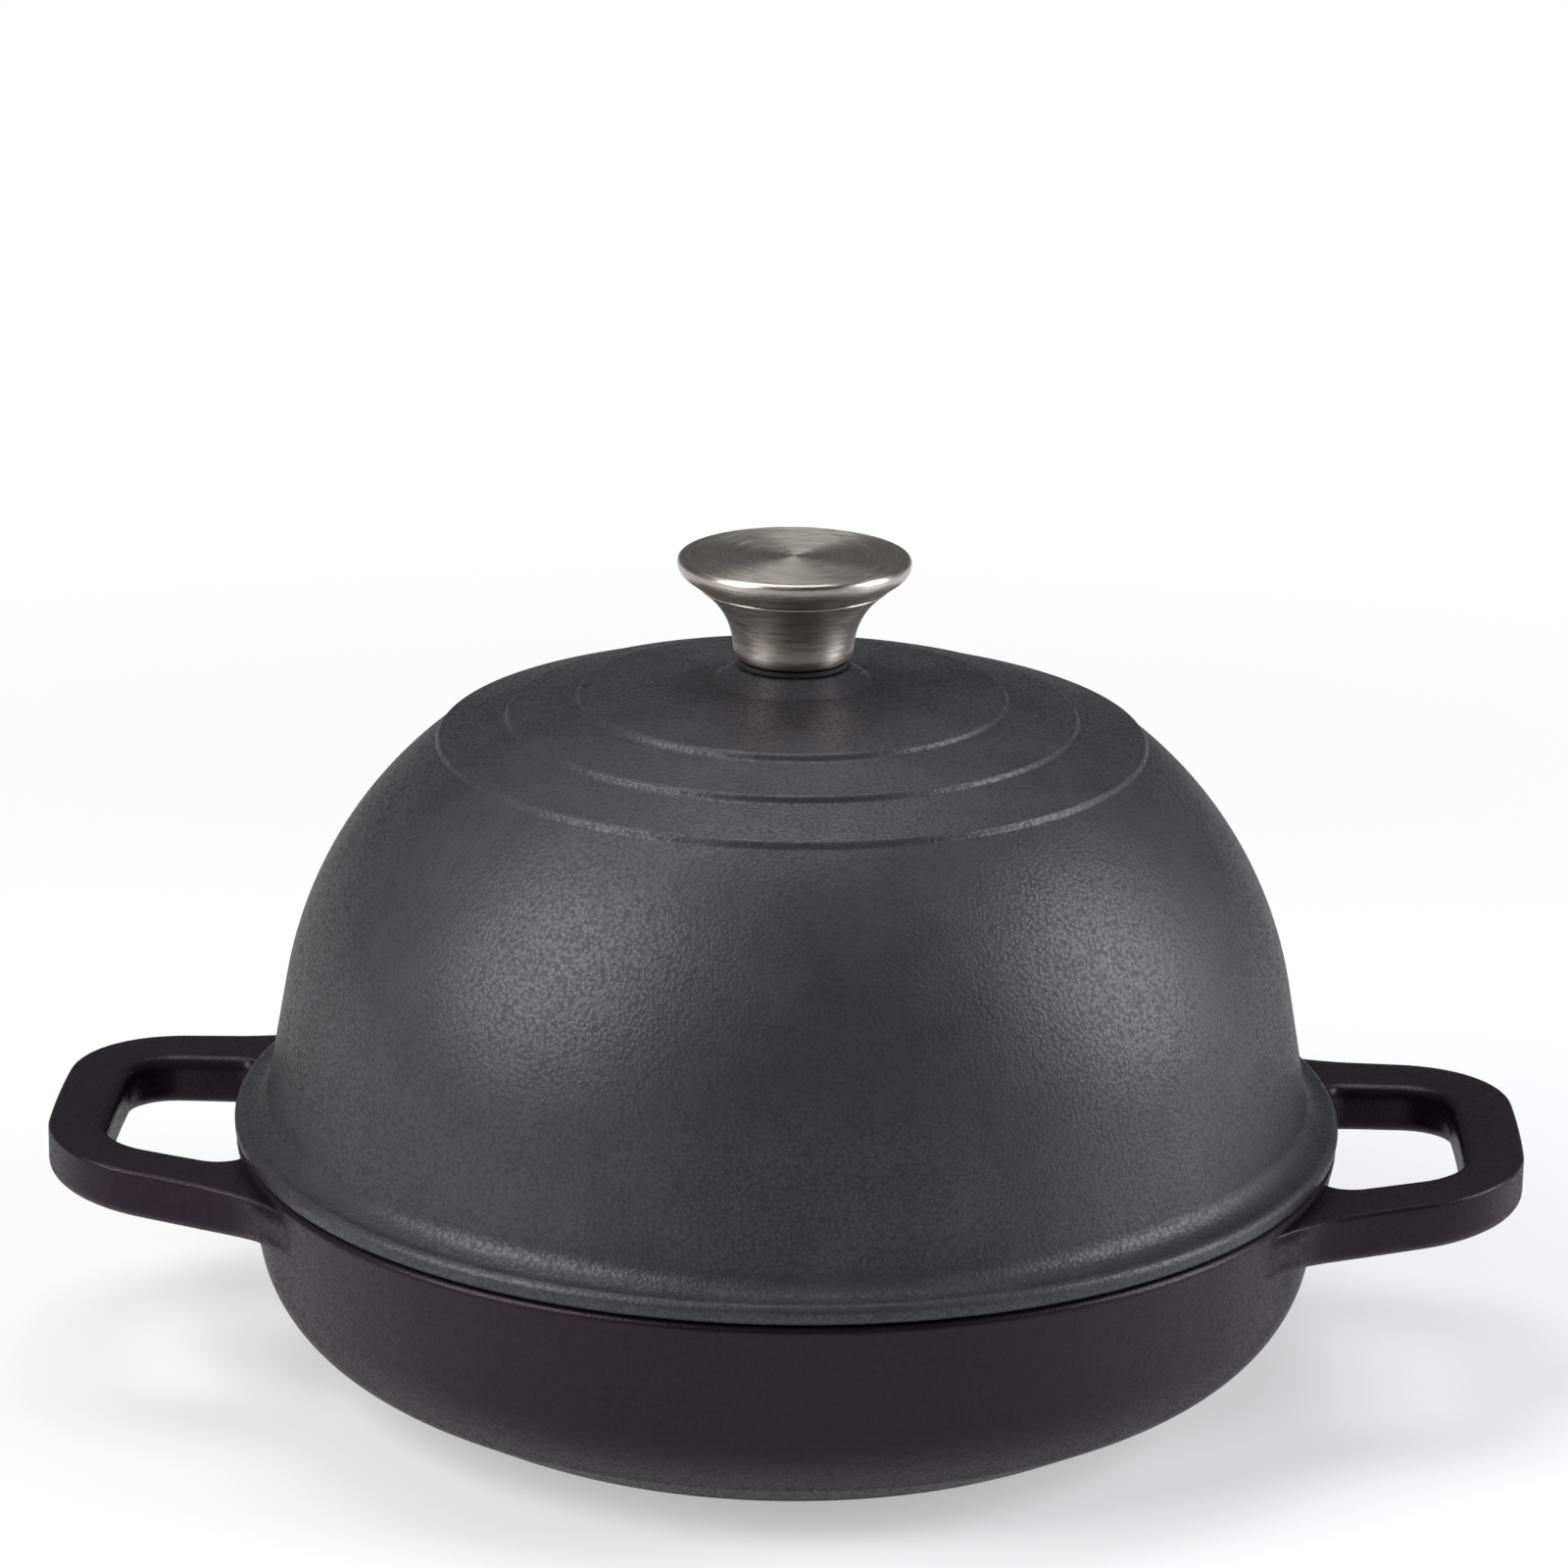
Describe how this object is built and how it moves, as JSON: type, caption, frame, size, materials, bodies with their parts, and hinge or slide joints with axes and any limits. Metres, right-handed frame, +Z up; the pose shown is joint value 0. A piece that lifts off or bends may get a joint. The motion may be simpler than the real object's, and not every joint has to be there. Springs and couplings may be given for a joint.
{
  "type": "enamelled dutch oven",
  "caption": "Shallow enamelled cast-iron baking base with loop handles under a tall domed lift-off lid with a flared steel knob.",
  "frame": {"origin": "on the surface that the base stands on, under the middle of the base", "axes": "+Z up along the axis of base, lid and knob; +X through the middle of one loop handle"},
  "size_m": [0.3466, 0.26, 0.1949],
  "materials": {
    "black_enamel": "matte black enamel on cast iron",
    "charcoal_enamel": "matte charcoal enamel on cast iron, fine cast grain",
    "beige_enamel": "glossy pinkish beige fused enamel",
    "brushed_steel": "brushed stainless steel",
    "zinc_steel": "zinc-plated steel",
    "silicone": "matte heat-resistant silicone"
  },
  "bodies": {
    "base": {"base_pan": "black_enamel", "base_lining": "beige_enamel"},
    "lid": {"lid_dome": "charcoal_enamel", "lid_lining": "beige_enamel", "knob_body": "brushed_steel", "knob_cap": "brushed_steel", "knob_core": "zinc_steel", "knob_gasket": "silicone", "screw_washer": "zinc_steel", "knob_screw": "zinc_steel"}
  },
  "joints": [
    {"name": "lid_lift", "type": "slide", "parent": "base", "child": "lid", "axis": [0, 0, 1], "range_m": [0, 0.13]}
  ]
}
